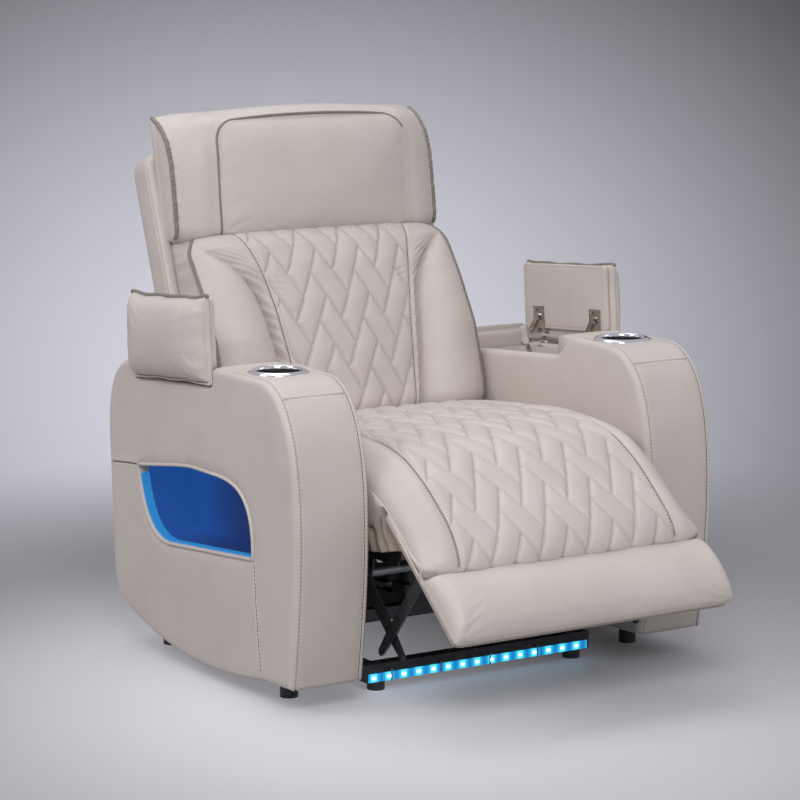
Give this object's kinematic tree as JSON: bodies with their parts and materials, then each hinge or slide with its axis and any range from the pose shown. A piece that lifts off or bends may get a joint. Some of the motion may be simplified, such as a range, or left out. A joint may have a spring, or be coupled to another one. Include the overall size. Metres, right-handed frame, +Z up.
{
  "type": "power recliner",
  "caption": "Armchair with a fold-out leg rest, reclining back, tilting headrest, cup wells, lidded arm bins, side pockets and lights.",
  "frame": {"origin": "on the floor, in the middle of the chair's box as drawn, with the leg rest part out and both lids open", "axes": "+X to the right seen from the front, so left means -X, the front faces -Y, +Z up"},
  "size_m": [1.008, 1.2252, 1.0727],
  "materials": {
    "leather": "smooth grained upholstery leather",
    "padding": "foam padding under leather",
    "piping": "taupe leather piping",
    "thread": "pale topstitching thread",
    "soft_fabric": "pleated beige cloth",
    "wood": "raw plywood",
    "black_steel": "black powder coat",
    "zinc": "zinc-plated",
    "hinge_metal": "dark plated",
    "chrome": "polished",
    "black_plastic": "fine grained",
    "switch_plastic": "satin",
    "pocket_liner": "smooth dark blue",
    "blue_light": "lit diffuser",
    "white_light": "lit diffuser"
  },
  "bodies": {
    "chair": {"arm_left_outer_panel": "leather", "arm_right_outer_panel": "leather", "arm_left_inner_panel": "leather", "arm_right_inner_panel": "leather", "arm_front_panels": "leather", "arm_decks": "leather", "arm_rear_blocks": "leather", "arm_bottom_boards": "leather", "storage_bins": "leather", "side_pockets": "pocket_liner", "pocket_lights": "blue_light", "cup_holder_left": "chrome", "cup_holder_right": "chrome", "arm_hinge_leaves": "hinge_metal", "base_cross_rails": "black_steel", "base_side_rails": "black_steel", "feet": "black_plastic", "light_strip": "blue_light", "uprights": "black_steel", "side_plate_left": "black_steel", "side_plate_right": "black_steel", "arm_brackets": "black_steel", "leg_hinge_rivets": "zinc", "tube_bushes": "black_plastic", "actuator_cross_tubes": "black_steel", "seat_cross_rails": "wood", "seat_side_rails": "wood", "seat_springs": "zinc", "seat_cushion": "padding", "rear_panel": "black_plastic", "power_box": "black_plastic", "leg_actuator": "black_plastic", "back_actuator": "black_plastic", "switch_plate": "black_plastic"},
    "lid_left": {"lid_left_board": "leather", "lid_left_cushion": "padding", "lid_left_hinge_leaves": "hinge_metal"},
    "lid_right": {"lid_right_board": "leather", "lid_right_cushion": "padding", "lid_right_hinge_leaves": "hinge_metal"},
    "leg_rest": {"leg_rest_board": "wood", "leg_rest_pad": "padding", "leg_rest_brackets": "black_steel"},
    "leg_drive": {"torque_tube": "zinc", "drive_links": "black_steel"},
    "leg_follow": {"follow_links": "black_steel"},
    "leg_carriage": {"leg_carriage": "zinc"},
    "back": {"back_posts": "black_steel", "back_tube": "zinc", "back_boards": "wood", "back_shell": "leather", "back_cushion": "padding", "headrest_brackets": "black_steel"},
    "back_carriage": {"back_carriage": "zinc"},
    "headrest": {"headrest_arms": "black_steel", "headrest_board": "wood", "headrest_pad": "padding"},
    "leg_switch": {"leg_switch": "switch_plastic"},
    "back_switch": {"back_switch": "switch_plastic"}
  },
  "joints": [
    {"name": "leg_rest_hinge", "type": "hinge", "parent": "chair", "child": "leg_rest", "pos_m": [0, -0.33, 0.385], "axis": [-1, 0, 0], "range_deg": [-50, 40]},
    {"name": "drive_turn", "type": "hinge", "parent": "chair", "child": "leg_drive", "pos_m": [0, -0.21, 0.24], "axis": [-1, 0, 0], "range_deg": [-50.5, 40.5]},
    {"name": "follow_swing", "type": "hinge", "parent": "leg_drive", "child": "leg_follow", "pos_m": [0, -0.3179, 0.1358], "axis": [-1, 0, 0], "range_deg": [-40.5, 50.5]},
    {"name": "leg_carriage_slide", "type": "slide", "parent": "chair", "child": "leg_carriage", "axis": [0, -1, 0], "range_m": [-0.049, 0.0395]},
    {"name": "back_recline", "type": "hinge", "parent": "chair", "child": "back", "pos_m": [0, 0.25, 0.36], "axis": [-1, 0, 0], "range_deg": [-3, 45]},
    {"name": "back_carriage_slide", "type": "slide", "parent": "chair", "child": "back_carriage", "axis": [0, -1, 0], "range_m": [-0.0035, 0.0465]},
    {"name": "headrest_tilt", "type": "hinge", "parent": "back", "child": "headrest", "pos_m": [0, 0.43, 0.8125], "axis": [1, 0, 0], "range_deg": [-6, 30]},
    {"name": "lid_left_hinge", "type": "hinge", "parent": "chair", "child": "lid_left", "pos_m": [-0.474, 0.00118, 0.59795], "axis": [0, -0.9969, 0.0785], "range_deg": [-90, 0]},
    {"name": "lid_right_hinge", "type": "hinge", "parent": "chair", "child": "lid_right", "pos_m": [0.474, 0.00118, 0.59795], "axis": [0, 0.9969, -0.0785], "range_deg": [-90, 0]},
    {"name": "leg_switch_rock", "type": "hinge", "parent": "chair", "child": "leg_switch", "pos_m": [-0.3187, -0.15, 0.53], "axis": [0, 1, 0], "range_deg": [-6, 6], "stiffness_Nm_per_rad": 0.05},
    {"name": "back_switch_rock", "type": "hinge", "parent": "chair", "child": "back_switch", "pos_m": [-0.3187, -0.11, 0.53], "axis": [0, 1, 0], "range_deg": [-6, 6], "stiffness_Nm_per_rad": 0.05}
  ],
  "couplings": [
    {"joint": "drive_turn", "follows": "leg_rest_hinge", "ratio": 1},
    {"joint": "follow_swing", "follows": "leg_rest_hinge", "ratio": -1},
    {"joint": "leg_carriage_slide", "follows": "leg_rest_hinge", "m_per_rad": 0.0555},
    {"joint": "back_carriage_slide", "follows": "back_recline", "m_per_rad": 0.0585}
  ]
}
